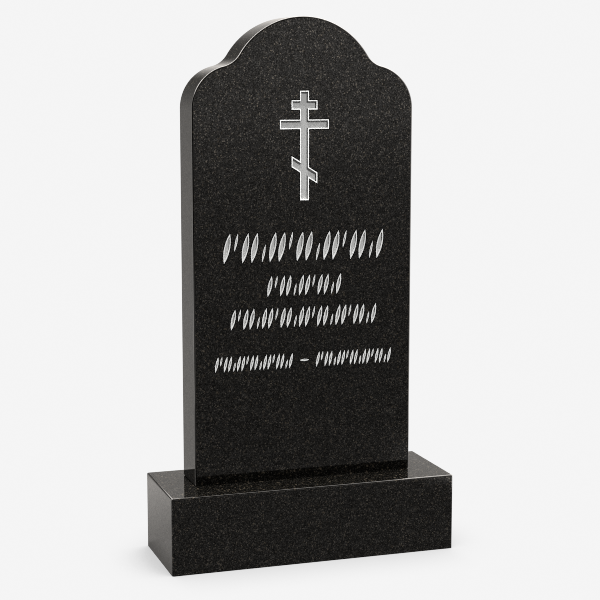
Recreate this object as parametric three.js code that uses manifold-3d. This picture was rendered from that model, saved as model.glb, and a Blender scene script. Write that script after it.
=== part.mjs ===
// A headstone: an upright slab (the stele) standing on a rectangular block (the plinth).
// Millimetres, Z up. The carved front faces -Y, the origin is the middle of the plinth's underside.

import * as THREE from 'three';
import { mergeVertices } from 'three/addons/utils/BufferGeometryUtils.js';
import Module from 'manifold-3d';

// Plinth
const PLINTH_WIDTH = 640;
const PLINTH_DEPTH = 234;
const PLINTH_HEIGHT = 168;
const PLINTH_ARRIS = 2.5;

// Stele. It stands FRONT_LEDGE behind the plinth's front face.
const STELE_WIDTH = 495;
const STELE_HEIGHT = 1000;
const STELE_THICKNESS = 104;
const STELE_ARRIS = 2.5;
const FRONT_LEDGE = 82;

// Head of the stele: a high round crest between two round shoulders, joined by hollow fillets.
// HEAD_RISE is the height of the crest above the end of the straight sides.
const HEAD_RISE = 194;
const CREST_RADIUS = 168;
const SHOULDER_RADIUS = 92;
const FILLET_RADIUS = 55;

// Cross with three bars, sunk into the front face. Each drop is measured from the cross's top.
const CROSS_BELOW_CREST = 156;
const CROSS_HEIGHT = 233;
const CROSS_BAR = 20;
const CROSS_DEPTH = 4;
const SHORT_BAR = { length: 58, drop: 20 };
const LONG_BAR = { length: 110, drop: 61 };
const SLANT_BAR = { length: 58, drop: 138, fall: 36 };

// Rows of slanting strokes under the cross. gap is the clear height above the row and margin
// the clear width beside it. A set is three strokes: wide, narrow, wide. A narrow stroke has
// NARROW_SHARE of the row's height.
const STROKES_PER_SET = 3;
const STROKE_SLANT = THREE.MathUtils.degToRad(12);
const STROKE_DEPTH = 3;
const NARROW_SHARE = 0.6;
const ROWS = [
  { gap: 67, height: 64, margin: 64, setWidth: 61, wide: 13, narrow: 5 },
  { gap: 30, height: 45, margin: 162, setWidth: 42, wide: 9, narrow: 4 },
  { gap: 24, height: 45, margin: 80, setWidth: 42, wide: 9, narrow: 4 },
];
const LAST_ROW = { gap: 56, height: 34, margin: 45, setWidth: 29, wide: 6, narrow: 4 };
const DASH = { length: 22, height: 5, clearance: 15 };

// Steps of the faceted curves
const ARC_STEP = THREE.MathUtils.degToRad(6);
const STROKE_STEPS = 6;

// How far a cutter stands out of the face that it cuts
const CUTTER_REACH = 10;

// Vertices closer than this are one
const MERGE_DISTANCE = 1e-4;

const wasm = await Module();
wasm.setup();

function toSolid(geometry) {
  const bare = geometry.clone();
  bare.deleteAttribute('normal');
  bare.deleteAttribute('uv');
  const merged = mergeVertices(bare, MERGE_DISTANCE);
  const mesh = new wasm.Mesh({
    numProp: 3,
    vertProperties: new Float32Array(merged.attributes.position.array),
    triVerts: new Uint32Array(merged.index.array),
  });
  return new wasm.Manifold(mesh);
}

function toGeometry(solid) {
  const mesh = solid.getMesh();
  const geometry = new THREE.BufferGeometry();
  geometry.setAttribute('position', new THREE.BufferAttribute(mesh.vertProperties, 3));
  geometry.setIndex(new THREE.BufferAttribute(mesh.triVerts, 1));
  geometry.computeVertexNormals();
  return geometry;
}

// A box between two corners
function boxBetween(low, high) {
  const size = high.clone().sub(low);
  const middle = low.clone().add(high).multiplyScalar(0.5);
  return new THREE.BoxGeometry(size.x, size.y, size.z).translate(middle.x, middle.y, middle.z);
}

// Points on an arc, from one angle to another, without its first point
function arcPoints(centre, radius, from, to) {
  const steps = Math.max(2, Math.ceil(Math.abs(to - from) / ARC_STEP));
  const points = [];
  for (let i = 1; i <= steps; i += 1) {
    const angle = from + ((to - from) * i) / steps;
    points.push(new THREE.Vector2(
      centre.x + radius * Math.cos(angle),
      centre.y + radius * Math.sin(angle),
    ));
  }
  return points;
}

// Right half of the stele's outline above its straight side, from the side up to the crest.
// The fillet's circle touches the shoulder's circle and the crest's circle from outside.
function headCurve() {
  const shoulder = new THREE.Vector2(STELE_WIDTH / 2 - SHOULDER_RADIUS, STELE_HEIGHT - HEAD_RISE);
  const crest = new THREE.Vector2(0, STELE_HEIGHT - CREST_RADIUS);
  const toShoulder = shoulder.clone().sub(crest);
  const span = toShoulder.length();
  const fromCrest = CREST_RADIUS + FILLET_RADIUS;
  const fromShoulder = SHOULDER_RADIUS + FILLET_RADIUS;
  const along = (fromCrest ** 2 - fromShoulder ** 2 + span ** 2) / (2 * span);
  const across = Math.sqrt(fromCrest ** 2 - along ** 2);
  const direction = toShoulder.clone().divideScalar(span);
  const fillet = crest.clone()
    .addScaledVector(direction, along)
    .addScaledVector(new THREE.Vector2(-direction.y, direction.x), across);
  const shoulderEnd = fillet.clone().sub(shoulder).angle();
  const crestStart = fillet.clone().sub(crest).angle();
  return [
    ...arcPoints(shoulder, SHOULDER_RADIUS, 0, shoulderEnd),
    ...arcPoints(fillet, FILLET_RADIUS, shoulderEnd - Math.PI, crestStart - Math.PI),
    ...arcPoints(crest, CREST_RADIUS, crestStart, Math.PI / 2),
  ];
}

// The whole outline, run down past the foot so that the arris stops at the sides
function steleShape() {
  const half = STELE_WIDTH / 2;
  const below = -2 * STELE_ARRIS;
  const right = [
    new THREE.Vector2(half, below),
    new THREE.Vector2(half, STELE_HEIGHT - HEAD_RISE),
    ...headCurve(),
  ];
  const left = right.slice(0, -1).reverse().map((point) => new THREE.Vector2(-point.x, point.y));
  return new THREE.Shape([...right, ...left]);
}

// Places of the stele's faces in the part's frame
const front = -PLINTH_DEPTH / 2 + FRONT_LEDGE;
const back = front + STELE_THICKNESS;
const foot = PLINTH_HEIGHT;

// A prism of a shape drawn on the front face (x across, y up from the foot), between two depths
function prismOnFront(shape, nearY, farY) {
  const geometry = new THREE.ExtrudeGeometry(shape, { depth: farY - nearY, bevelEnabled: false });
  return geometry.rotateX(Math.PI / 2).translate(0, farY, foot);
}

function recess(shape, depth) {
  return toSolid(prismOnFront(shape, front - CUTTER_REACH, front + depth));
}

// A slanting stroke with pointed ends: two arcs that meet at its tips
function strokeShape(x, z, height, width, slant) {
  const bow = width / 2;
  const radius = ((height / 2) ** 2 + bow ** 2) / (2 * bow);
  const half = Math.asin(height / 2 / radius);
  const points = [];
  for (const side of [1, -1]) {
    for (let i = 0; i < STROKE_STEPS; i += 1) {
      const angle = half * ((2 * i) / STROKE_STEPS - 1);
      points.push(new THREE.Vector2(
        side * (radius * Math.cos(angle) - radius + bow),
        side * radius * Math.sin(angle),
      ));
    }
  }
  const centre = new THREE.Vector2(x, z);
  const origin = new THREE.Vector2();
  return new THREE.Shape(points.map((point) => point.rotateAround(origin, -slant).add(centre)));
}

// One row of strokes between two ends, set by set. The narrow strokes stand at the row's top
// and bottom by turns.
function strokesBetween(row, fromX, toX, top) {
  const sets = Math.max(1, Math.round((toX - fromX) / row.setWidth));
  const pitch = (toX - fromX) / sets / STROKES_PER_SET;
  const middle = top - row.height / 2;
  const length = row.height / Math.cos(STROKE_SLANT);
  const narrowShift = ((1 - NARROW_SHARE) * row.height) / 2;
  const shapes = [];
  for (let set = 0; set < sets; set += 1) {
    const x = fromX + STROKES_PER_SET * (set + 0.5) * pitch;
    const z = middle + (set % 2 === 0 ? narrowShift : -narrowShift);
    shapes.push(strokeShape(x - pitch, middle, length, row.wide, STROKE_SLANT));
    shapes.push(strokeShape(x, z, length * NARROW_SHARE, row.narrow, STROKE_SLANT));
    shapes.push(strokeShape(x + pitch, middle, length, row.wide, STROKE_SLANT));
  }
  return shapes;
}

// All strokes on the front face, row by row down from the cross
function inscription() {
  const shapes = [];
  let level = STELE_HEIGHT - CROSS_BELOW_CREST - CROSS_HEIGHT;
  for (const row of ROWS) {
    const half = STELE_WIDTH / 2 - row.margin;
    level -= row.gap;
    shapes.push(...strokesBetween(row, -half, half, level));
    level -= row.height;
  }
  const outer = STELE_WIDTH / 2 - LAST_ROW.margin;
  const inner = DASH.length / 2 + DASH.clearance;
  level -= LAST_ROW.gap;
  shapes.push(...strokesBetween(LAST_ROW, -outer, -inner, level));
  shapes.push(strokeShape(0, level - LAST_ROW.height / 2, DASH.length, DASH.height, Math.PI / 2));
  shapes.push(...strokesBetween(LAST_ROW, inner, outer, level));
  return shapes;
}

// A bar of the cross: upright at both ends, with its right end lower by fall
function barShape(length, height, top, fall) {
  const half = length / 2;
  return new THREE.Shape([
    new THREE.Vector2(-half, top - height),
    new THREE.Vector2(half, top - height - fall),
    new THREE.Vector2(half, top - fall),
    new THREE.Vector2(-half, top),
  ]);
}

function crossShapes() {
  const top = STELE_HEIGHT - CROSS_BELOW_CREST;
  const slantHeight = CROSS_BAR * Math.hypot(1, SLANT_BAR.fall / SLANT_BAR.length);
  return [
    barShape(CROSS_BAR, CROSS_HEIGHT, top, 0),
    barShape(SHORT_BAR.length, CROSS_BAR, top - SHORT_BAR.drop, 0),
    barShape(LONG_BAR.length, CROSS_BAR, top - LONG_BAR.drop, 0),
    barShape(SLANT_BAR.length, slantHeight, top - SLANT_BAR.drop, SLANT_BAR.fall),
  ];
}

// An extrusion whose two end faces have a bevelled edge, at its full size between them
function bevelled(shape, length, arris) {
  return new THREE.ExtrudeGeometry(shape, {
    depth: length - 2 * arris,
    bevelThickness: arris,
    bevelSize: arris,
    bevelOffset: -arris,
    bevelSegments: 1,
  }).translate(0, 0, arris);
}

// Cuts a solid off flat at a level
function cutBelow(solid, level) {
  const reach = PLINTH_WIDTH + STELE_WIDTH;
  const low = new THREE.Vector3(-reach, -reach, level - reach);
  const high = new THREE.Vector3(reach, reach, level);
  return solid.subtract(toSolid(boxBetween(low, high)));
}

function makeStele() {
  const slab = bevelled(steleShape(), STELE_THICKNESS, STELE_ARRIS);
  slab.rotateX(Math.PI / 2).translate(0, back, foot);
  let solid = cutBelow(toSolid(slab), foot);
  for (const shape of crossShapes()) {
    solid = solid.subtract(recess(shape, CROSS_DEPTH));
  }
  for (const shape of inscription()) {
    solid = solid.subtract(recess(shape, STROKE_DEPTH));
  }
  return toGeometry(solid);
}

// The plinth's plan: a rectangle whose corners are taken off by the arris
function plinthShape() {
  const x = PLINTH_WIDTH / 2;
  const y = PLINTH_DEPTH / 2;
  const cut = PLINTH_ARRIS;
  return new THREE.Shape([
    new THREE.Vector2(x, cut - y),
    new THREE.Vector2(x, y - cut),
    new THREE.Vector2(x - cut, y),
    new THREE.Vector2(cut - x, y),
    new THREE.Vector2(-x, y - cut),
    new THREE.Vector2(-x, cut - y),
    new THREE.Vector2(cut - x, -y),
    new THREE.Vector2(x - cut, -y),
  ]);
}

function makePlinth() {
  const buried = 2 * PLINTH_ARRIS;
  const block = bevelled(plinthShape(), PLINTH_HEIGHT + buried, PLINTH_ARRIS);
  block.translate(0, 0, -buried);
  return toGeometry(cutBelow(toSolid(block), 0));
}

// Black granite with a mirror polish
function polishedGranite() {
  return new THREE.MeshStandardMaterial({ color: 0x242220, roughness: 0.12, metalness: 0 });
}

function pieceOfGranite(name, geometry) {
  const mesh = new THREE.Mesh(geometry, polishedGranite());
  mesh.name = name;
  return mesh;
}

const headstone = new THREE.Group();
headstone.add(pieceOfGranite('stele', makeStele()));
headstone.add(pieceOfGranite('plinth', makePlinth()));

export default headstone;
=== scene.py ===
"""A headstone of polished black granite: a carved stele on a plinth, on a pale studio floor."""

import math

import bpy
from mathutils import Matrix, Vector
from mathutils.geometry import delaunay_2d_cdt


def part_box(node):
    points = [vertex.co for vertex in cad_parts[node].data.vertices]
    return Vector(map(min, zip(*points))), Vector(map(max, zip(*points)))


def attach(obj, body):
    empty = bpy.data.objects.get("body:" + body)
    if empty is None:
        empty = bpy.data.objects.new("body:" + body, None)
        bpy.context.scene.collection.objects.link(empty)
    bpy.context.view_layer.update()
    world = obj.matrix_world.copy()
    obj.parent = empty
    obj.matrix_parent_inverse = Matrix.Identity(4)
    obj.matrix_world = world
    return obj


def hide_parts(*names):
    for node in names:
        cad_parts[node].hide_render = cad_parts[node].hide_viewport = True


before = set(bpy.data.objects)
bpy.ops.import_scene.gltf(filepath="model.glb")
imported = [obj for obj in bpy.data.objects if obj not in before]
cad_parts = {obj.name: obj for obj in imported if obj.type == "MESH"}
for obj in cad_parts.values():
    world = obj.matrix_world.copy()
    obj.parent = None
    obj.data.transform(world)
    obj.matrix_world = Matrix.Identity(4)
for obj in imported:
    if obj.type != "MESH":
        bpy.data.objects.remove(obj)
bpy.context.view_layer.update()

MM = 0.001

# Places of the two pieces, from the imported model
STELE_LOW, STELE_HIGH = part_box("stele")
PLINTH_LOW, PLINTH_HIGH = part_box("plinth")
FRONT = STELE_LOW.y
BACK = STELE_HIGH.y
FOOT = STELE_LOW.z
TOP = STELE_HIGH.z
HALF_WIDTH = STELE_HIGH.x

# Edges. Both stones have rounded arrises, and the plinth's upright corners are a little rounder.
ARRIS = 3.4 * MM
ARRIS_STEPS = 5
PLINTH_CORNER = 4.5 * MM
FOOT_CHAMFER = 2.5 * MM

# Head of the stele: a round crest, round shoulders and a hollow fillet between them
HEAD_RISE = 194 * MM
CREST_RADIUS = 168 * MM
SHOULDER_RADIUS = 92 * MM
FILLET_RADIUS = 55 * MM
HEAD_STEP = math.radians(1.5)

# The cross. Each drop is measured from its top.
CROSS_BELOW_CREST = 156 * MM
CROSS_HEIGHT = 233 * MM
CROSS_BAR = 20 * MM
CROSS_DEPTH = 4 * MM
SHORT_BAR_LENGTH = 58 * MM
SHORT_BAR_DROP = 20 * MM
LONG_BAR_LENGTH = 110 * MM
LONG_BAR_DROP = 61 * MM
SLANT_BAR_LENGTH = 58 * MM
SLANT_BAR_DROP = 138 * MM
SLANT_BAR_FALL = 36 * MM

# Rows of slanting strokes under the cross, in millimetres: the clear height above a row, its
# height, the clear width beside it, the width of a set of three strokes, and the strokes' widths
ROWS = (
    dict(gap=67, height=64, margin=64, set_width=61, wide=13, narrow=5),
    dict(gap=30, height=45, margin=162, set_width=42, wide=9, narrow=4),
    dict(gap=24, height=45, margin=80, set_width=42, wide=9, narrow=4),
)
LAST_ROW = dict(gap=56, height=34, margin=45, set_width=29, wide=6, narrow=4)
STROKES_PER_SET = 3
NARROW_SHARE = 0.6
STROKE_SLANT = math.radians(12)
STROKE_DEPTH = 3 * MM
STROKE_STEPS = 12
DASH_LENGTH = 22 * MM
DASH_HEIGHT = 5 * MM
DASH_CLEARANCE = 15 * MM

# Mouth of a carving: a fine dark scored line, a white bruised rim almost level with the face, then
# the wall. The shares of a stroke's width limit its line and rim. On the cross's floor, a flat band
# along its upright edges (those more than UPRIGHT times as high as wide) has painted shade.
SCORE_WIDTH = 1.9 * MM
SCORE_SHARE = 0.2
RIM_WIDTH = 2.2 * MM
RIM_SHARE = 0.36
RIM_DEPTH = 0.15 * MM
WALL_DRAFT = 0.2 * MM
SHADE_BAND_WIDTH = 1.7 * MM
UPRIGHT = 2

# Mesh tools: Blender's number for triangles inside an outline and outside its holes, and how
# close two points or two normals are to count as one
CAP_INSIDE_WITH_HOLES = 2
SAME_POINT = 1e-7
SAME_NORMAL = 1e-9

# Order of the materials on the stele. The plinth has the first two.
GRANITE = 0
EDGE = 1
SCORE = 2
RIM = 3
BLASTED = 4
# Painted shade on a band of the cross's floor
PAINTED_SHADE = 5
STROKE_RIM = 6
STROKE_FLOOR = 7

# Granite. A scale is the number of crystals to a metre. A rarity is the power to which a random
# number from 0 to 1 is raised.
CRYSTAL_SCALE = 620
SPECK_SCALE = 320
FLAKE_SCALE = 500
CRYSTAL_RARITY = 9.0
SPECK_RARITY = 30.0
FLAKE_RARITY = 26.0
BLACK_CRYSTAL = (0.0005, 0.00047, 0.0004, 1)
GREY_CRYSTAL = (0.0112, 0.0104, 0.0090, 1)
BROWN_SPECK = (0.024, 0.0195, 0.014, 1)
FLAKE_TINT = (1.0, 0.89, 0.73, 1)
FLAKE_GLOSS = 1.5
GLOSS_SWING = 0.47
GLOSS_MIDDLE = -1.78
CLUMP_SCALE = 65
CLUMP_LOW = 0.87
CLUMP_HIGH = 1.13
POLISH_SMOOTH = 0.04
POLISH_ROUGH = 0.08
FACE_IOR = 1.8
EDGE_IOR = 1.55

# Noise is mostly between these two values
NOISE_LOW = 0.3
NOISE_HIGH = 0.7

# Worked stone without polish
FINE_GRIT = 1100
COARSE_GRIT = 900
GRIT_DETAIL = 3.0
GRIT_SHARE = 0.7
PATCH_SCALE = 110
BLUE_SHARE = 0.98
MATT = 0.9
PIT_STRENGTH = 0.3
FINE_PITS = 0.05 * MM
DEEP_PITS = 0.12 * MM

# Camera, fitted to the photograph's corners
LENS = 93.99
SENSOR = 36
CAMERA_PLACE = Vector((-1.0652, -3.2173, 1.0547))
CAMERA_YAW = math.radians(18.34)
CAMERA_PITCH = math.radians(-8.34)
CLIP_END = 300
FILTER_WIDTH = 1.0

# Studio. Levels are linear light, and places are in metres.
WHITE = (1, 1, 1, 1)
BACKDROP_LEVEL = 0.909
FLOOR_RADIUS = 120
FLOOR_BOUNCE = 0.2

# Shade on the floor round the plinth's foot: how far it reaches, and its depth and how fast it
# falls off in front and at the sides
SHADE_REACH = 0.16
SHADE_SAMPLES = 16
FRONT_SHADE = 0.42
FRONT_FALL = 1.25
LEFT_SHADE = 2.6
RIGHT_SHADE = 1.5
SIDE_FALL = 2.6
SIDE_BLEND = 0.03

# The room that the polished faces mirror. A ramp runs from one (place, level) to another.
ROOM_TINT = (1.045, 1.0, 0.95, 1)
DARK_SIDE = 0.08
NEAR_DARK_SIDE = 0.5
LEFT_STRIP = 2.6
LIT_SIDE = 1.6
RIGHT_STRIP = 3.0

# Ramps by how far a level direction points to the right
CLEAR_OF_LEFT = ((-0.9, 0), (-0.6, 1))
LEFT_STRIP_START = ((-0.97, 0), (-0.85, 1))
LEFT_STRIP_END = ((-0.72, 1), (-0.6, 0))
CLEAR_OF_FRONT_LEFT = ((-0.3, 0), (-0.12, 1))
REAR_PANEL_EDGE = ((-0.035, 0), (0.17, 1))
RIGHT_SIDE = ((0.48, 0), (0.7, 1))
RIGHT_STRIP_START = ((0.82, LIT_SIDE), (0.95, RIGHT_STRIP))

# Ramps by how far a direction points to the back. The last one takes directions as they are,
# and the others take only their level part.
AHEAD = ((-0.9, 1), (-0.72, 0))
BEHIND = ((0.0, 0), (0.3, 1))
OVERHEAD_DEPTH = ((-0.3, 0), (0.0, 1))

# Ramps by how far a direction points up
ROOM_FRONT_FOOT = ((-0.02, 0.70), (0.03, 0.88))
ROOM_FRONT_TOP = ((0.09, 1), (0.23, 0.06))
REAR_PANEL_FOOT = ((0.0, 0.42), (0.09, 0.83))
REAR_PANEL_TOP = ((0.17, 1), (0.27, 0.62))
REAR_GAP = ((0.0, 0.40), (0.25, 0.12))
OVERHEAD_FOOT = ((0.30, 0), (0.5, 8.0))
OVERHEAD_TOP = ((0.65, 1), (0.85, 0.35))
SOFT_DOME = ((0.0, 0.15), (0.8, 0.4))

# The floor that the polished faces mirror: ramps by the distance from the middle, as its
# logarithm to base 10
FLOOR_FRONT_RISE = ((0.0, 0), (1.5, 1))
FLOOR_FRONT_POWER = 3.0
FLOOR_FRONT_GAIN = 0.46
FLOOR_FRONT_BASE = 0.258
FLOOR_REAR = ((0.6, 0.49), (1.3, 0.42))
FLOOR_DARK_SIDE = ((0.35, NEAR_DARK_SIDE), (0.45, DARK_SIDE))

# The same near the object: ramps by distance from the middle, from the plinth and to the back
FLOOR_FAR = ((0.8, 0), (0.9, 1))
FLOOR_BESIDE = ((0.08, 0.49), (0.5, 0.86))
FLOOR_CONTACT = ((0.0, 0.6), (0.05, 1))
FLOOR_PAST_FRONT = ((-0.16, 0), (-0.11, 1))
FLOOR_NEAR_FRONT = 0.275

# Lamps
KEY_STRENGTH = 3.2
KEY_FROM = Vector((0.35, -0.65, 0.68))
KEY_ANGLE = math.radians(6)
OVERHEAD_STRENGTH = 29
OVERHEAD_FROM = Vector((0, 0, 1))
OVERHEAD_ANGLE = math.radians(20)
LAMP_DISTANCE = 3


# Mesh building

class Shell:
    """The points and faces of one closed mesh, gathered ring by ring."""

    def __init__(self):
        self.points = []
        self.faces = []
        self.looks = []
        self.smooth = []
        self.creases = set()

    def ring(self, points):
        first = len(self.points)
        self.points.extend(points)
        return list(range(first, len(self.points)))

    def face(self, corners, look=GRANITE, smooth=False):
        self.faces.append(corners)
        self.looks.append(look)
        self.smooth.append(smooth)

    def band(self, near, far, look=GRANITE, smooth=False, closed=True, curved=None):
        """Quads between two rings. curved says for each step whether it is part of a curve."""
        count = len(near)
        for i in range(count if closed else count - 1):
            j = (i + 1) % count
            round_here = smooth and (curved is None or curved[i])
            self.face((near[i], near[j], far[j], far[i]), look, round_here)

    def crease(self, ring):
        """The shading breaks along this ring."""
        for first, second in zip(ring, ring[1:] + ring[:1]):
            self.creases.add((min(first, second), max(first, second)))

    def cap(self, outer, holes=(), look=GRANITE, flip=False):
        """Triangles over a flat outline that faces -Y, or +Y when flipped, round its holes."""
        loops = [outer, *holes]
        used = [index for loop in loops for index in loop]
        flat = [Vector((self.points[i].x, self.points[i].z)) for i in used]
        starts = [sum(len(loop) for loop in loops[:n]) for n in range(len(loops))]
        rings = [list(range(start, start + len(loop))) for start, loop in zip(starts, loops)]
        _, _, triangles, origins, _, _ = delaunay_2d_cdt(
            flat, [], rings, CAP_INSIDE_WITH_HOLES, SAME_POINT,
        )
        for triangle in triangles:
            corners = [used[origins[i][0]] for i in triangle]
            self.face(corners[::-1] if flip else corners, look)

    def build(self, name, materials):
        mesh = bpy.data.meshes.new(name)
        mesh.from_pydata([tuple(p) for p in self.points], [], self.faces)
        for material in materials:
            mesh.materials.append(material)
        mesh.polygons.foreach_set("material_index", self.looks)
        mesh.polygons.foreach_set("use_smooth", self.smooth)
        for edge in mesh.edges:
            first, second = edge.vertices
            edge.use_edge_sharp = (min(first, second), max(first, second)) in self.creases
        mesh.validate()
        mesh.update()
        piece = bpy.data.objects.new(name, mesh)
        bpy.context.scene.collection.objects.link(piece)
        return piece


def arc(centre, radius, start, end, hollow=False):
    """Points on an arc with their outward normals, without the arc's first point."""
    steps = max(2, math.ceil(abs(end - start) / HEAD_STEP))
    found = []
    for i in range(1, steps + 1):
        angle = start + (end - start) * i / steps
        ray = Vector((math.cos(angle), math.sin(angle)))
        found.append((centre + ray * radius, -ray if hollow else ray))
    return found


def curved_steps(outline):
    """Says for each step of a closed outline whether the normal turns along it."""
    following = outline[1:] + outline[:1]
    return [here[1].dot(there[1]) < 1 - SAME_NORMAL for here, there in zip(outline, following)]


def arris_turns():
    """Angles of the steps round an arris, from one face to the other."""
    return [math.pi / 2 * i / ARRIS_STEPS for i in range(ARRIS_STEPS + 1)]


def head_curve():
    """Right half of the head, from the straight side up to the crest. Each arc touches the next."""
    shoulder = Vector((HALF_WIDTH - SHOULDER_RADIUS, TOP - HEAD_RISE))
    crest = Vector((0, TOP - CREST_RADIUS))
    between = shoulder - crest
    span = between.length
    from_crest = CREST_RADIUS + FILLET_RADIUS
    from_shoulder = SHOULDER_RADIUS + FILLET_RADIUS
    along = (from_crest ** 2 - from_shoulder ** 2 + span ** 2) / (2 * span)
    across = math.sqrt(from_crest ** 2 - along ** 2)
    way = between / span
    fillet = crest + way * along + Vector((-way.y, way.x)) * across
    shoulder_end = math.atan2(fillet.y - shoulder.y, fillet.x - shoulder.x)
    crest_start = math.atan2(fillet.y - crest.y, fillet.x - crest.x)
    return [
        *arc(shoulder, SHOULDER_RADIUS, 0, shoulder_end),
        *arc(fillet, FILLET_RADIUS, shoulder_end - math.pi, crest_start - math.pi, hollow=True),
        *arc(crest, CREST_RADIUS, crest_start, math.pi / 2),
    ]


def stele_outline():
    """The outline seen from the front, from the right foot over the crest to the left foot."""
    sideways = Vector((1, 0))
    right = [
        (Vector((HALF_WIDTH - FOOT_CHAMFER, FOOT)), sideways),
        (Vector((HALF_WIDTH, FOOT + FOOT_CHAMFER)), sideways),
        (Vector((HALF_WIDTH, TOP - HEAD_RISE)), sideways),
        *head_curve(),
    ]
    left = [(Vector((-p.x, p.y)), Vector((-n.x, n.y))) for p, n in reversed(right[:-1])]
    return right + left


def mitred(outline, inset):
    """A closed outline, anticlockwise, moved inwards by inset with mitred corners."""
    moved = []
    for i, here in enumerate(outline):
        before = (here - outline[i - 1]).normalized()
        after = (outline[(i + 1) % len(outline)] - here).normalized()
        first = Vector((-before.y, before.x))
        second = Vector((-after.y, after.x))
        moved.append(here + (first + second) * (inset / (1 + first.dot(second))))
    return moved


def cross_outline():
    """The cross's outline, anticlockwise from its top right corner."""
    half = CROSS_BAR / 2
    top = TOP - CROSS_BELOW_CREST
    slant_height = CROSS_BAR * math.hypot(1, SLANT_BAR_FALL / SLANT_BAR_LENGTH)

    def side(sign):
        """One side of the cross from the top down, on the right for 1 and on the left for -1."""
        points = [Vector((sign * half, top))]
        for length, drop, height, fall in (
            (SHORT_BAR_LENGTH, SHORT_BAR_DROP, CROSS_BAR, 0),
            (LONG_BAR_LENGTH, LONG_BAR_DROP, CROSS_BAR, 0),
            (SLANT_BAR_LENGTH, SLANT_BAR_DROP, slant_height, SLANT_BAR_FALL),
        ):
            slope = sign * fall / length
            root = top - drop - fall / 2 - slope * half
            end = top - drop - fall / 2 - slope * length / 2
            points += [
                Vector((sign * half, root)),
                Vector((sign * length / 2, end)),
                Vector((sign * length / 2, end - height)),
                Vector((sign * half, root - height)),
            ]
        points.append(Vector((sign * half, top - CROSS_HEIGHT)))
        return points

    return side(-1) + side(1)[::-1]


def stroke_outline(x, z, length, width, slant, inset):
    """A slanting stroke with pointed ends, anticlockwise: two arcs that meet at its tips."""
    bow = width / 2
    radius = ((length / 2) ** 2 + bow ** 2) / (2 * bow)
    away = radius - bow
    half = math.acos(away / (radius - inset))
    points = []
    for side in (1, -1):
        for i in range(STROKE_STEPS):
            angle = half * (2 * i / STROKE_STEPS - 1)
            u = side * ((radius - inset) * math.cos(angle) - away)
            v = side * (radius - inset) * math.sin(angle)
            points.append(Vector((
                x + u * math.cos(slant) + v * math.sin(slant),
                z - u * math.sin(slant) + v * math.cos(slant),
            )))
    return points


def strokes_between(row, start, end, top):
    """The place, length and width of each stroke of a row, between two ends."""
    sets = max(1, round((end - start) / (row["set_width"] * MM)))
    pitch = (end - start) / sets / STROKES_PER_SET
    height = row["height"] * MM
    middle = top - height / 2
    length = height / math.cos(STROKE_SLANT)
    shift = (1 - NARROW_SHARE) * height / 2
    strokes = []
    for n in range(sets):
        x = start + STROKES_PER_SET * (n + 0.5) * pitch
        z = middle + (shift if n % 2 == 0 else -shift)
        strokes += [
            (x - pitch, middle, length, row["wide"] * MM, STROKE_SLANT),
            (x, z, length * NARROW_SHARE, row["narrow"] * MM, STROKE_SLANT),
            (x + pitch, middle, length, row["wide"] * MM, STROKE_SLANT),
        ]
    return strokes


def all_strokes():
    level = TOP - CROSS_BELOW_CREST - CROSS_HEIGHT
    strokes = []
    for row in ROWS:
        half = HALF_WIDTH - row["margin"] * MM
        level -= row["gap"] * MM
        strokes += strokes_between(row, -half, half, level)
        level -= row["height"] * MM
    outer = HALF_WIDTH - LAST_ROW["margin"] * MM
    inner = DASH_LENGTH / 2 + DASH_CLEARANCE
    level -= LAST_ROW["gap"] * MM
    middle = level - LAST_ROW["height"] * MM / 2
    strokes += strokes_between(LAST_ROW, -outer, -inner, level)
    strokes.append((0, middle, DASH_LENGTH, DASH_HEIGHT, math.pi / 2))
    strokes += strokes_between(LAST_ROW, inner, outer, level)
    return strokes


def carve(shell, outline_at, score, rim, depth, looks, shade_look=None):
    """A recess in the front face. outline_at(inset) gives its outline, looks are the rim's and the
    floor's, and the last argument, if given, is the look of painted shade on a flat band of the
    floor along its upright edges. Returns the outer ring."""
    wall = rim + WALL_DRAFT
    rings = []
    for inset, sunk in ((-score, 0), (0, RIM_DEPTH), (rim, RIM_DEPTH), (wall, depth)):
        rings.append(shell.ring([Vector((p.x, FRONT + sunk, p.y)) for p in outline_at(inset)]))
    rim_look, floor_look = looks
    for near, far, look in zip(rings, rings[1:], (SCORE, rim_look, floor_look)):
        shell.band(near, far, look)
    # A flat band round the floor, at the floor's own depth, with painted shade along its upright
    # edges
    if shade_look:
        outline = outline_at(wall + SHADE_BAND_WIDTH)
        inner = shell.ring([Vector((p.x, FRONT + depth, p.y)) for p in outline])
        for i, here in enumerate(outline):
            j = (i + 1) % len(outline)
            along = outline[j] - here
            look = shade_look if abs(along.y) > UPRIGHT * abs(along.x) else floor_look
            shell.face((rings[-1][i], rings[-1][j], inner[j], inner[i]), look)
        rings.append(inner)
    shell.cap(rings[-1], look=floor_look)
    return rings[0]


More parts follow.
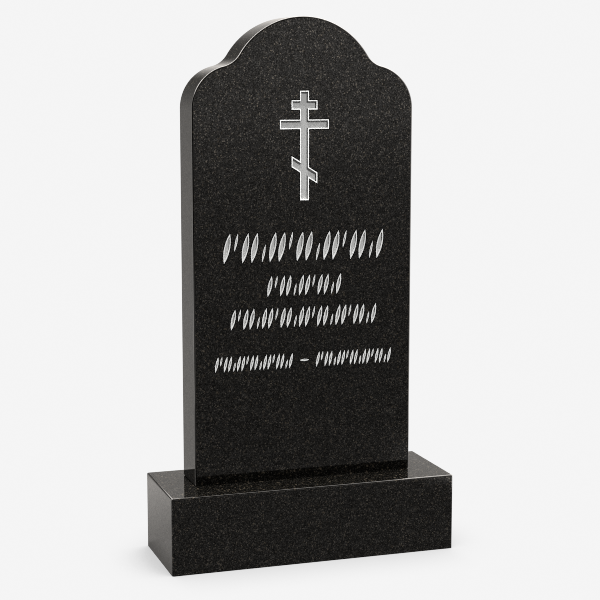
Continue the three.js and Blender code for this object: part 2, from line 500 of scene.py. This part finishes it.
def make_stele(materials):
    shell = Shell()
    outline = stele_outline()
    turns = arris_turns()
    levels = [(ARRIS * (1 - math.sin(t)), FRONT + ARRIS * (1 - math.cos(t))) for t in turns]
    levels += [(ARRIS * (1 - math.cos(t)), BACK - ARRIS * (1 - math.sin(t))) for t in turns]
    rings = []
    for inset, y in levels:
        rings.append(shell.ring([
            Vector((p.x - n.x * inset, y, p.y - n.y * inset)) for p, n in outline
        ]))
    side = len(turns) - 1
    curved = curved_steps(outline)
    for n, (near, far) in enumerate(zip(rings, rings[1:])):
        shell.band(
            far, near, GRANITE if n == side else EDGE, smooth=True, closed=False,
            curved=curved if n == side else None,
        )
    shell.crease(rings[side])
    shell.crease(rings[side + 1])
    shell.face([ring[-1] for ring in rings] + [ring[0] for ring in reversed(rings)])
    cross = cross_outline()
    mouths = [carve(
        shell, lambda inset: mitred(cross, inset), SCORE_WIDTH, RIM_WIDTH, CROSS_DEPTH,
        (RIM, BLASTED), PAINTED_SHADE,
    )]
    for stroke in all_strokes():
        _, _, _, width, _ = stroke
        score = min(SCORE_WIDTH, SCORE_SHARE * width)
        rim = min(RIM_WIDTH, RIM_SHARE * width)
        mouths.append(carve(
            shell, lambda inset: stroke_outline(*stroke, inset), score, rim, STROKE_DEPTH,
            (STROKE_RIM, STROKE_FLOOR),
        ))
    shell.cap(rings[0], mouths)
    shell.cap(rings[-1], flip=True)
    return shell.build("stele_stone", materials)


def make_plinth(materials):
    shell = Shell()
    corner = Vector((PLINTH_HIGH.x - PLINTH_CORNER, PLINTH_HIGH.y - PLINTH_CORNER))
    plan = []
    for quarter, (sx, sy) in enumerate(((1, 1), (-1, 1), (-1, -1), (1, -1))):
        for i in range(ARRIS_STEPS + 1):
            angle = math.pi / 2 * (quarter + i / ARRIS_STEPS)
            ray = Vector((math.cos(angle), math.sin(angle)))
            centre = Vector((sx * corner.x, sy * corner.y))
            plan.append((centre + ray * PLINTH_CORNER, ray))
    turns = arris_turns()
    top = PLINTH_HIGH.z
    levels = [(0, PLINTH_LOW.z)]
    levels += [(ARRIS * (1 - math.cos(t)), top - ARRIS * (1 - math.sin(t))) for t in turns]
    rings = [
        shell.ring([Vector((p.x - n.x * inset, p.y - n.y * inset, z)) for p, n in plan])
        for inset, z in levels
    ]
    curved = curved_steps(plan)
    for n, (low, high) in enumerate(zip(rings, rings[1:])):
        shell.band(
            low, high, GRANITE if n == 0 else EDGE, smooth=True,
            curved=curved if n == 0 else None,
        )
    shell.crease(rings[1])
    shell.face(rings[0][::-1])
    shell.face(rings[-1])
    return shell.build("plinth_block", materials)


# Node building

class Tree:
    """Adds and joins the nodes of one tree."""

    def __init__(self, tree):
        self.tree = tree

    def add(self, kind, **settings):
        node = self.tree.nodes.new(kind)
        for name, value in settings.items():
            setattr(node, name, value)
        return node

    def feed(self, socket, value):
        """Joins a socket to a node's output, or sets it."""
        if isinstance(value, bpy.types.NodeSocket):
            self.tree.links.new(value, socket)
        else:
            socket.default_value = value

    def math(self, operation, *values, clamp=False):
        node = self.add("ShaderNodeMath", operation=operation, use_clamp=clamp)
        for socket, value in zip(node.inputs, values):
            self.feed(socket, value)
        return node.outputs[0]

    def between(self, value, from_low, from_high, low, high, kind="LINEAR"):
        """Runs from low to high while value runs from from_low to from_high, and stays there."""
        node = self.add("ShaderNodeMapRange", interpolation_type=kind, clamp=True)
        for name, given in (
            ("Value", value), ("From Min", from_low), ("From Max", from_high),
            ("To Min", low), ("To Max", high),
        ):
            self.feed(node.inputs[name], given)
        return node.outputs["Result"]

    def ramp(self, value, ends, kind="SMOOTHSTEP"):
        """Runs from one (place, level) to another, and stays there."""
        (start, low), (end, high) = ends
        return self.between(value, start, end, low, high, kind)

    def mix(self, factor, first, second):
        """A number between two numbers."""
        node = self.add("ShaderNodeMix", data_type="FLOAT", clamp_factor=True)
        for socket, value in zip(node.inputs[0:1] + node.inputs[2:4], (factor, first, second)):
            self.feed(socket, value)
        return node.outputs[0]

    def blend(self, factor, first, second):
        """A colour between two colours."""
        node = self.add("ShaderNodeMix", data_type="RGBA", clamp_factor=True)
        for socket, value in zip(node.inputs[0:1] + node.inputs[6:8], (factor, first, second)):
            self.feed(socket, value)
        return node.outputs[2]

    def parts(self, vector):
        node = self.add("ShaderNodeSeparateXYZ")
        self.feed(node.inputs[0], vector)
        return node.outputs

    def cells(self, place, scale):
        """Three random numbers from 0 to 1 for each crystal."""
        node = self.add("ShaderNodeTexVoronoi", feature="F1")
        self.feed(node.inputs["Vector"], place)
        self.feed(node.inputs["Scale"], scale)
        split = self.add("ShaderNodeSeparateColor")
        self.feed(split.inputs[0], node.outputs["Color"])
        return split.outputs

    def noise(self, place, scale, detail=2.0):
        node = self.add("ShaderNodeTexNoise")
        self.feed(node.inputs["Vector"], place)
        self.feed(node.inputs["Scale"], scale)
        self.feed(node.inputs["Detail"], detail)
        return node.outputs["Fac"]

    def bump(self, height, strength, distance):
        node = self.add("ShaderNodeBump")
        self.feed(node.inputs["Height"], height)
        self.feed(node.inputs["Strength"], strength)
        self.feed(node.inputs["Distance"], distance)
        return node.outputs["Normal"]


def new_material(name):
    """A material, its tree, its shader and the object's own coordinates in metres."""
    material = bpy.data.materials.new(name)
    material.use_nodes = True
    tree = Tree(material.node_tree)
    shader = material.node_tree.nodes["Principled BSDF"]
    place = tree.add("ShaderNodeTexCoord").outputs["Object"]
    return material, tree, shader, place


def polished_granite(name, mottled):
    """Black granite with a mirror polish: crystals of about 1.6 mm, a few of them grey, and rare
    brown specks of about 3 mm. Where it is mottled, its gloss varies too, with rare tan flakes."""
    material, tree, shader, place = new_material(name)
    crystal = tree.cells(place, CRYSTAL_SCALE)
    speck = tree.cells(place, SPECK_SCALE)
    grain = tree.math("POWER", crystal[0], CRYSTAL_RARITY)
    brown = tree.math("POWER", speck[1], SPECK_RARITY)
    dark = tree.blend(grain, BLACK_CRYSTAL, GREY_CRYSTAL)
    tree.feed(shader.inputs["Base Color"], tree.blend(brown, dark, BROWN_SPECK))

    if mottled:
        # The spread is from -3 to 3 and mostly near 0, as the sum of three random numbers is
        total = tree.math("ADD", tree.math("ADD", crystal[0], crystal[1]), crystal[2])
        spread = tree.math("MULTIPLY_ADD", total, 2.0, -3.0)
        swing = tree.math("MULTIPLY_ADD", spread, GLOSS_SWING, GLOSS_MIDDLE)
        clump = tree.between(
            tree.noise(place, CLUMP_SCALE), NOISE_LOW, NOISE_HIGH, CLUMP_LOW, CLUMP_HIGH,
        )
        gloss = tree.math("MULTIPLY", tree.math("EXPONENT", swing), clump)
        flake = tree.math("POWER", tree.cells(place, FLAKE_SCALE)[2], FLAKE_RARITY)
        level = tree.math("MULTIPLY_ADD", flake, FLAKE_GLOSS, gloss, clamp=True)
        tree.feed(shader.inputs["Specular IOR Level"], level)
        tree.feed(shader.inputs["Specular Tint"], tree.blend(flake, WHITE, FLAKE_TINT))
    shader.inputs["IOR"].default_value = FACE_IOR if mottled else EDGE_IOR

    roughness = tree.between(speck[0], 0, 1, POLISH_SMOOTH, POLISH_ROUGH)
    tree.feed(shader.inputs["Roughness"], roughness)
    return material


def matt_stone(name, grit_scale, dark, light, pits):
    """Worked stone without polish: a grey between two tones, matt and finely pitted."""
    material, tree, shader, place = new_material(name)
    grit = tree.noise(place, grit_scale, GRIT_DETAIL)
    patch = tree.noise(place, PATCH_SCALE)
    tone = tree.math(
        "ADD",
        tree.math("MULTIPLY", grit, GRIT_SHARE),
        tree.math("MULTIPLY", patch, 1 - GRIT_SHARE),
    )
    colour = tree.blend(
        tree.between(tone, NOISE_LOW, NOISE_HIGH, 0, 1),
        (dark, dark, dark * BLUE_SHARE, 1),
        (light, light, light * BLUE_SHARE, 1),
    )
    tree.feed(shader.inputs["Base Color"], colour)
    shader.inputs["Roughness"].default_value = MATT
    shader.inputs["Specular IOR Level"].default_value = 0.0
    tree.feed(shader.inputs["Normal"], tree.bump(grit, PIT_STRENGTH, pits))
    return material


# Studio

def split_by_ray(tree, seen, mirrored, other):
    """One shader for camera rays, one for mirror reflections and one for soft light."""
    path = tree.add("ShaderNodeLightPath")
    soft = tree.add("ShaderNodeMixShader")
    tree.feed(soft.inputs[0], path.outputs["Is Glossy Ray"])
    tree.feed(soft.inputs[1], other)
    tree.feed(soft.inputs[2], mirrored)
    whole = tree.add("ShaderNodeMixShader")
    tree.feed(whole.inputs[0], path.outputs["Is Camera Ray"])
    tree.feed(whole.inputs[1], soft.outputs[0])
    tree.feed(whole.inputs[2], seen)
    return whole.outputs[0]


def glow(tree, kind, colour, strength):
    node = tree.add(kind)
    tree.feed(node.inputs["Color"], colour)
    tree.feed(node.inputs["Strength"], strength)
    return node.outputs[0]


def round_the_object(tree, x, y, front, rear, dark):
    """The level in each direction: the given ones in front and behind, dark on the left but for a
    strip behind, and a large soft light on the right."""
    behind = tree.ramp(y, BEHIND)
    level = tree.mix(tree.math("MULTIPLY", behind, tree.ramp(x, CLEAR_OF_LEFT)), dark, rear)
    left_strip = tree.math(
        "MULTIPLY", tree.ramp(x, LEFT_STRIP_START), tree.ramp(x, LEFT_STRIP_END),
    )
    level = tree.mix(tree.math("MULTIPLY", behind, left_strip), level, LEFT_STRIP)
    level = tree.mix(tree.ramp(x, RIGHT_SIDE), level, tree.ramp(x, RIGHT_STRIP_START))
    ahead = tree.math("MULTIPLY", tree.ramp(y, AHEAD), tree.ramp(x, CLEAR_OF_FRONT_LEFT))
    return tree.mix(ahead, level, front)


def level_direction(tree, place):
    """The horizontal part of a direction or place, one unit long."""
    flat = tree.add("ShaderNodeVectorMath", operation="MULTIPLY")
    tree.feed(flat.inputs[0], place)
    tree.feed(flat.inputs[1], (1, 1, 0))
    unit = tree.add("ShaderNodeVectorMath", operation="NORMALIZE")
    tree.feed(unit.inputs[0], flat.outputs[0])
    return tree.parts(unit.outputs[0])


def make_room():
    """A pale backdrop for the camera, and the room's soft lights for the polished faces."""
    world = bpy.data.worlds.new("studio")
    world.use_nodes = True
    world.cycles.sampling_method = "NONE"
    bpy.context.scene.world = world
    world.node_tree.nodes.clear()
    tree = Tree(world.node_tree)
    place = tree.add("ShaderNodeTexCoord").outputs["Generated"]
    x, y, _ = level_direction(tree, place)
    _, depth, up = tree.parts(place)

    front = tree.math(
        "MULTIPLY", tree.ramp(up, ROOM_FRONT_FOOT), tree.ramp(up, ROOM_FRONT_TOP),
    )
    panel = tree.math(
        "MULTIPLY", tree.ramp(up, REAR_PANEL_FOOT), tree.ramp(up, REAR_PANEL_TOP),
    )
    gap = tree.ramp(up, REAR_GAP, "LINEAR")
    rear = tree.mix(tree.ramp(x, REAR_PANEL_EDGE), gap, panel)
    overhead = tree.math("MULTIPLY", tree.ramp(up, OVERHEAD_FOOT), tree.ramp(up, OVERHEAD_TOP))
    overhead = tree.math("MULTIPLY", overhead, tree.ramp(depth, OVERHEAD_DEPTH))
    level = tree.math("ADD", round_the_object(tree, x, y, front, rear, DARK_SIDE), overhead)

    seen = glow(tree, "ShaderNodeBackground", WHITE, BACKDROP_LEVEL)
    mirrored = glow(tree, "ShaderNodeBackground", ROOM_TINT, level)
    other = glow(tree, "ShaderNodeBackground", WHITE, tree.ramp(up, SOFT_DOME, "LINEAR"))
    output = tree.add("ShaderNodeOutputWorld")
    tree.feed(output.inputs["Surface"], split_by_ray(tree, seen, mirrored, other))


def floor_material():
    """Seamless pale floor: as light as the backdrop, and darker round the plinth's foot."""
    material = bpy.data.materials.new("studio_floor")
    material.use_nodes = True
    material.node_tree.nodes.clear()
    tree = Tree(material.node_tree)
    shade = tree.add("ShaderNodeAmbientOcclusion", samples=SHADE_SAMPLES)
    shade.inputs["Distance"].default_value = SHADE_REACH
    closed = tree.math("SUBTRACT", 1.0, shade.outputs["AO"])
    place = tree.add("ShaderNodeNewGeometry").outputs["Position"]
    across, along, _ = tree.parts(place)
    front_shade = tree.math("MULTIPLY", tree.math("POWER", closed, FRONT_FALL), FRONT_SHADE)
    side_depth = tree.between(across, PLINTH_LOW.x, PLINTH_HIGH.x, LEFT_SHADE, RIGHT_SHADE)
    side_shade = tree.math("MULTIPLY", tree.math("POWER", closed, SIDE_FALL), side_depth)
    plinth_end = ((PLINTH_HIGH.x - SIDE_BLEND, 0), (PLINTH_HIGH.x + SIDE_BLEND, 1))
    beyond = tree.ramp(tree.math("ABSOLUTE", across), plinth_end)
    darkening = tree.math("SUBTRACT", 1.0, tree.mix(beyond, front_shade, side_shade))
    seen_level = tree.math("MULTIPLY", darkening, BACKDROP_LEVEL)
    seen = glow(tree, "ShaderNodeEmission", WHITE, seen_level)

    x, y, _ = level_direction(tree, place)
    length = tree.add("ShaderNodeVectorMath", operation="LENGTH")
    tree.feed(length.inputs[0], place)
    radius = length.outputs["Value"]
    reach = tree.math("LOGARITHM", radius, 10.0)
    rise = tree.math("POWER", tree.ramp(reach, FLOOR_FRONT_RISE, "LINEAR"), FLOOR_FRONT_POWER)
    front = tree.math("MULTIPLY_ADD", rise, FLOOR_FRONT_GAIN, FLOOR_FRONT_BASE)
    rear = tree.ramp(reach, FLOOR_REAR, "LINEAR")
    dark = tree.ramp(reach, FLOOR_DARK_SIDE, "LINEAR")
    far = round_the_object(tree, x, y, front, rear, dark)
    clear = tree.math(
        "MAXIMUM",
        tree.math("SUBTRACT", tree.math("ABSOLUTE", across), PLINTH_HIGH.x),
        tree.math("SUBTRACT", tree.math("ABSOLUTE", along), PLINTH_HIGH.y),
    )
    beside = tree.ramp(clear, FLOOR_BESIDE, "LINEAR")
    near = tree.mix(tree.ramp(along, FLOOR_PAST_FRONT), FLOOR_NEAR_FRONT, beside)
    level = tree.mix(tree.ramp(radius, FLOOR_FAR), near, far)
    mirrored_level = tree.math("MULTIPLY", level, tree.ramp(clear, FLOOR_CONTACT))
    mirrored = glow(tree, "ShaderNodeEmission", ROOM_TINT, mirrored_level)
    other = glow(tree, "ShaderNodeEmission", WHITE, FLOOR_BOUNCE)
    output = tree.add("ShaderNodeOutputMaterial")
    tree.feed(output.inputs["Surface"], split_by_ray(tree, seen, mirrored, other))
    return material


def make_floor():
    """One great triangle, because a seam between two shows as a dotted line in the shade."""
    mesh = bpy.data.meshes.new("studio_floor")
    turns = [2 * math.pi * (n / 3 + 1 / 4) for n in range(3)]
    corners = [(FLOOR_RADIUS * math.cos(t), FLOOR_RADIUS * math.sin(t), 0) for t in turns]
    mesh.from_pydata(corners, [], [(0, 1, 2)])
    mesh.materials.append(floor_material())
    floor = bpy.data.objects.new("studio_floor", mesh)
    bpy.context.scene.collection.objects.link(floor)


def make_light(name, strength, source, angle):
    """A soft light from far off, which the polished faces don't mirror."""
    light = bpy.data.lights.new(name, "SUN")
    light.energy = strength
    light.angle = angle
    lamp = bpy.data.objects.new(name, light)
    lamp.rotation_mode = "QUATERNION"
    lamp.rotation_quaternion = source.to_track_quat("Z", "Y")
    lamp.location = source * LAMP_DISTANCE
    lamp.visible_glossy = False
    bpy.context.scene.collection.objects.link(lamp)


def make_camera():
    data = bpy.data.cameras.new("camera")
    data.sensor_width = SENSOR
    data.lens = LENS
    data.clip_end = CLIP_END
    camera = bpy.data.objects.new("camera", data)
    camera.rotation_euler = (math.pi / 2 + CAMERA_PITCH, 0, -CAMERA_YAW)
    camera.location = CAMERA_PLACE
    bpy.context.scene.collection.objects.link(camera)
    bpy.context.scene.camera = camera


make_camera()
make_room()
make_floor()
make_light("key", KEY_STRENGTH, KEY_FROM, KEY_ANGLE)
make_light("overhead", OVERHEAD_STRENGTH, OVERHEAD_FROM, OVERHEAD_ANGLE)
bpy.context.scene.view_settings.view_transform = "Standard"
bpy.context.scene.cycles.use_denoising = False
bpy.context.scene.cycles.filter_width = FILTER_WIDTH

granite = polished_granite("polished_black_granite", mottled=True)
edge = polished_granite("polished_edge", mottled=False)
carving = [
    matt_stone("scored_line", FINE_GRIT, dark=0.002, light=0.005, pits=FINE_PITS),
    matt_stone("bruised_rim", FINE_GRIT, dark=0.78, light=0.88, pits=FINE_PITS),
    matt_stone("blasted_floor", COARSE_GRIT, dark=0.34, light=0.41, pits=DEEP_PITS),
    # Painted shade: a darker copy of the blasted floor, for the band along the cross's upright
    # edges
    matt_stone("painted_shade_floor", COARSE_GRIT, dark=0.13, light=0.18, pits=DEEP_PITS),
    matt_stone("stroke_rim", FINE_GRIT, dark=0.50, light=0.62, pits=FINE_PITS),
    matt_stone("stroke_floor", COARSE_GRIT, dark=0.39, light=0.47, pits=DEEP_PITS),
]
stele = make_stele([granite, edge, *carving])
plinth = make_plinth([granite, edge])

for piece, node in ((stele, "stele"), (plinth, "plinth")):
    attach(piece, "root")
    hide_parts(node)
